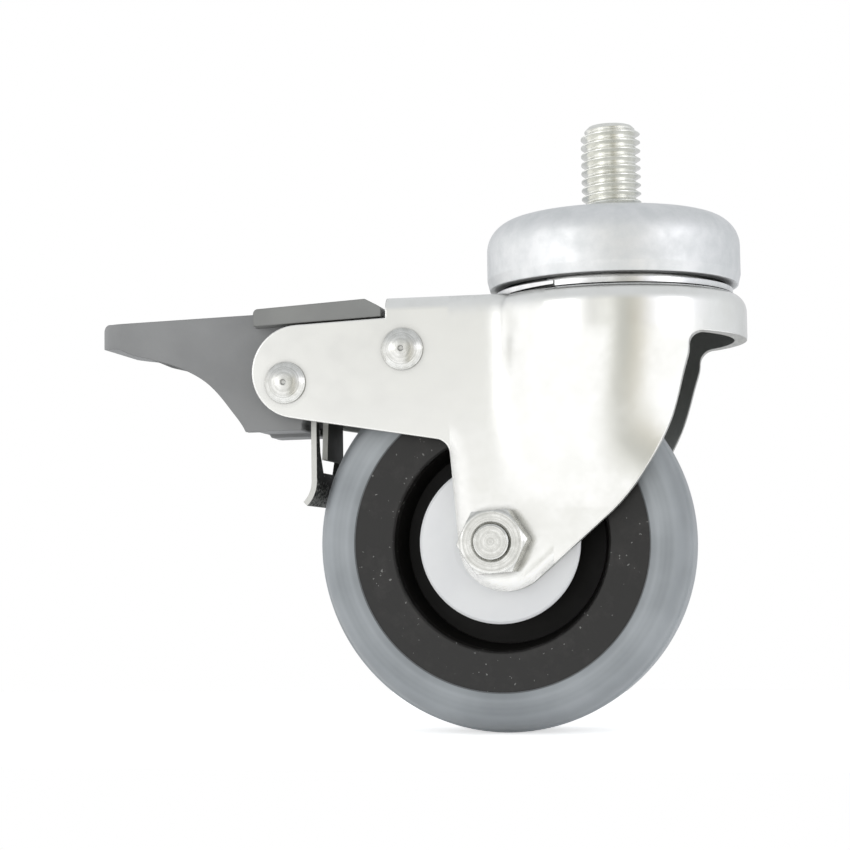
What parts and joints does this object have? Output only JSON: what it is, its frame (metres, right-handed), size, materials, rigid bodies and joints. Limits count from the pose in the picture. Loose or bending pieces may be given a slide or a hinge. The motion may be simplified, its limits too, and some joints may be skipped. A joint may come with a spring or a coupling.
{
  "type": "swivel castor",
  "caption": "Swivel castor with a threaded stem, pressed steel fork, rubber-tyred wheel and a foot pedal that locks both wheel and swivel.",
  "frame": {"origin": "on the swivel axis, on top of the swivel cap, where the mating surface seats round the stem", "axes": "+Z along the threaded stem, away from the wheel; the wheel trails towards -X, so +X is the castor's front; +Y is along the axle, with the axle nut on the -Y side"},
  "size_m": [0.1316, 0.0528, 0.1214],
  "materials": {
    "stem_zinc": "zinc plated thread, bright and slightly warm",
    "cap_zinc": "zinc plated drawn steel, soft sheen with faint tumbling marks",
    "fork_zinc": "zinc plated pressed steel, satin on the flats, brighter on the round",
    "ring_zinc": "bright zinc",
    "race_zinc": "zinc plated steel, dull",
    "ball_steel": "polished hardened steel, greased",
    "bolt_zinc": "zinc plated turned and forged steel",
    "rivet_zinc": "zinc plated, spun domed heads",
    "lever_steel": "plated steel, dull",
    "leaf_steel": "plated spring steel",
    "guard_plastic": "pale grey moulded disc, smooth",
    "wheel_plastic": "black moulded polypropylene, lightly textured",
    "tyre_rubber": "grey thermoplastic rubber, smooth matt",
    "pedal_plastic": "mid grey moulded nylon, fine spark texture"
  },
  "bodies": {
    "head": {"threaded_stem": "stem_zinc", "swivel_cap": "cap_zinc", "upper_balls": "ball_steel", "lower_balls": "ball_steel", "lower_race": "race_zinc", "lock_ring": "race_zinc"},
    "fork": {"fork": "fork_zinc", "dust_ring": "ring_zinc", "axle_bolt": "bolt_zinc", "axle_nut": "bolt_zinc", "axle_sleeve": "race_zinc", "thread_guard_near": "guard_plastic", "thread_guard_far": "guard_plastic", "pedal_rivet": "rivet_zinc", "lever_rivet": "rivet_zinc", "lever_spacers": "race_zinc"},
    "wheel": {"tyre": "tyre_rubber", "wheel_centre": "wheel_plastic"},
    "pedal": {"brake_pedal": "pedal_plastic", "pedal_pad": "pedal_plastic"},
    "lock_lever": {"lock_lever": "lever_steel", "brake_leaf": "leaf_steel", "leaf_rivets": "rivet_zinc"}
  },
  "joints": [
    {"name": "swivel", "type": "hinge", "parent": "head", "child": "fork", "pos_m": [0, 0, 0], "axis": [0, 0, 1], "continuous": true},
    {"name": "wheel_spin", "type": "hinge", "parent": "fork", "child": "wheel", "pos_m": [-0.0221, 0, -0.0655], "axis": [0, 1, 0], "continuous": true},
    {"name": "pedal_press", "type": "hinge", "parent": "fork", "child": "pedal", "pos_m": [-0.0641, 0, -0.0331], "axis": [0, -1, 0], "range_deg": [0, 8]},
    {"name": "lever_turn", "type": "hinge", "parent": "fork", "child": "lock_lever", "pos_m": [-0.0402, 0, -0.0272], "axis": [0, -1, 0], "range_deg": [0, 2.2]}
  ],
  "couplings": [
    {"joint": "lever_turn", "follows": "pedal_press", "ratio": 0.275}
  ]
}
